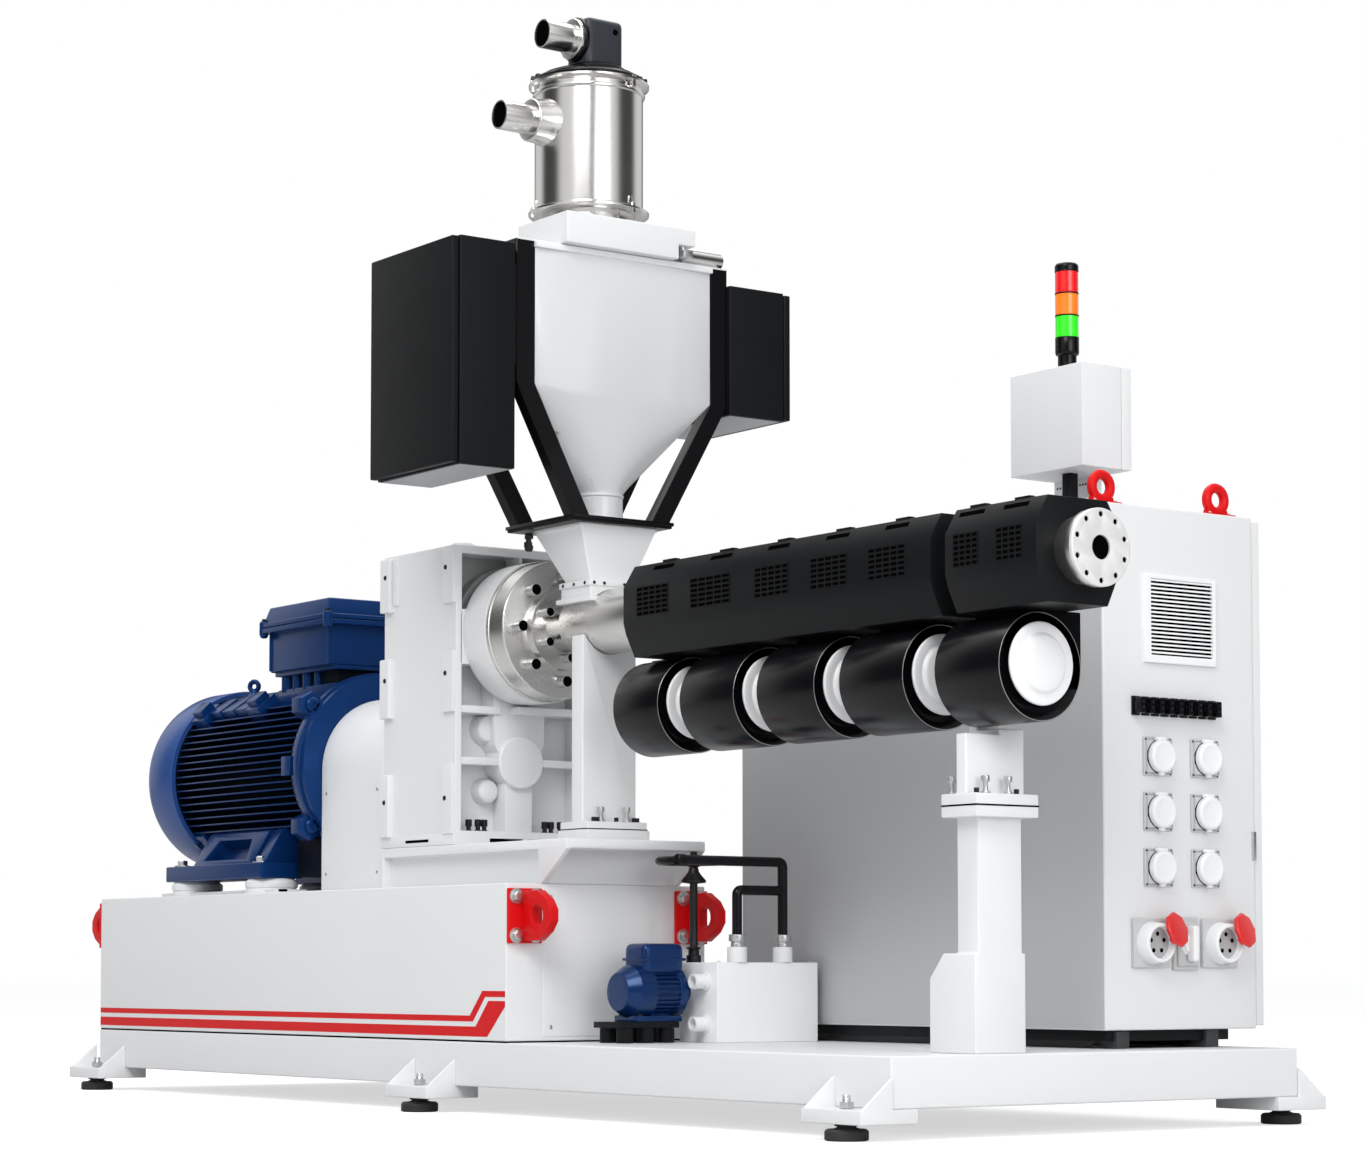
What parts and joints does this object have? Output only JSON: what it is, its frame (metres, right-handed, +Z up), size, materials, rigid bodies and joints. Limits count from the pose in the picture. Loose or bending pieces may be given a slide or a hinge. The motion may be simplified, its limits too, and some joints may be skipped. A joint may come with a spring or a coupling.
{
  "type": "plastic extruder",
  "caption": "Single-screw plastic extruder line: drive motor, gearbox, heated barrel with cooling blowers, feed hopper with loader, control cabinet on a common base.",
  "frame": {"origin": "centre of the whole machine's footprint box, on the floor", "axes": "+X along the barrel towards the die end, +Y towards the control cabinet, +Z up"},
  "size_m": [3.4069, 1.2179, 2.263],
  "materials": {
    "white_paint": "satin",
    "grey_paint": "satin",
    "black_paint": "satin",
    "blue_paint": "gloss",
    "red_paint": "satin",
    "machined_steel": "turned",
    "stainless": "brushed",
    "black_plastic": "matte",
    "white_plastic": "satin",
    "lamp_plastic": "gloss",
    "rubber": "matte"
  },
  "bodies": {
    "line": {"base_frame": "white_paint", "foot_brackets": "white_paint", "foot_pads": "rubber", "motor_base_box": "white_paint", "lifting_lugs": "red_paint", "gearbox_table": "white_paint", "gearbox_housing": "white_paint", "output_flange": "machined_steel", "barrel": "machined_steel", "screw": "machined_steel", "die_flange": "machined_steel", "barrel_cover_main": "black_paint", "barrel_cover_die": "black_paint", "blowers": "black_paint", "blower_caps": "white_plastic", "feed_post": "white_paint", "die_post": "white_paint", "motor_body": "blue_paint", "motor_fan_cowl": "blue_paint", "motor_feet": "blue_paint", "motor_pads": "white_paint", "terminal_box": "blue_paint", "coupling_guard": "white_paint", "feed_funnel": "white_paint", "hopper_frame": "black_paint", "hopper_body": "white_paint", "side_box_tall": "black_paint", "side_box_short": "black_paint", "junction_block": "white_paint", "loader_foot": "stainless", "loader_body": "stainless", "loader_lid": "black_plastic", "loader_elbow": "black_plastic", "cabinet_body": "grey_paint", "door_hinges": "machined_steel", "cabinet_feet": "rubber", "cabinet_eyes": "red_paint", "vent_grille": "grey_paint", "connector_row": "black_plastic", "round_sockets": "white_plastic", "plug_sockets": "white_plastic", "main_switch": "white_plastic", "control_head": "white_paint", "head_bracket": "black_paint", "signal_tower": "lamp_plastic", "water_tank": "white_paint", "pipework": "black_plastic", "valve_stem": "machined_steel", "pump_motor": "blue_paint", "pump_mount": "black_paint"},
    "door": {"cabinet_door": "grey_paint"},
    "handwheel": {"valve_handwheel": "black_paint"}
  },
  "joints": [
    {"name": "cabinet_door_hinge", "type": "hinge", "parent": "line", "child": "door", "pos_m": [0.1955, 0.581, 0.6665], "axis": [0, 0, 1], "range_deg": [0, 115]},
    {"name": "valve_spin", "type": "hinge", "parent": "line", "child": "handwheel", "pos_m": [0.3845, -0.078, 0.509], "axis": [0, 0, 1], "continuous": true}
  ]
}
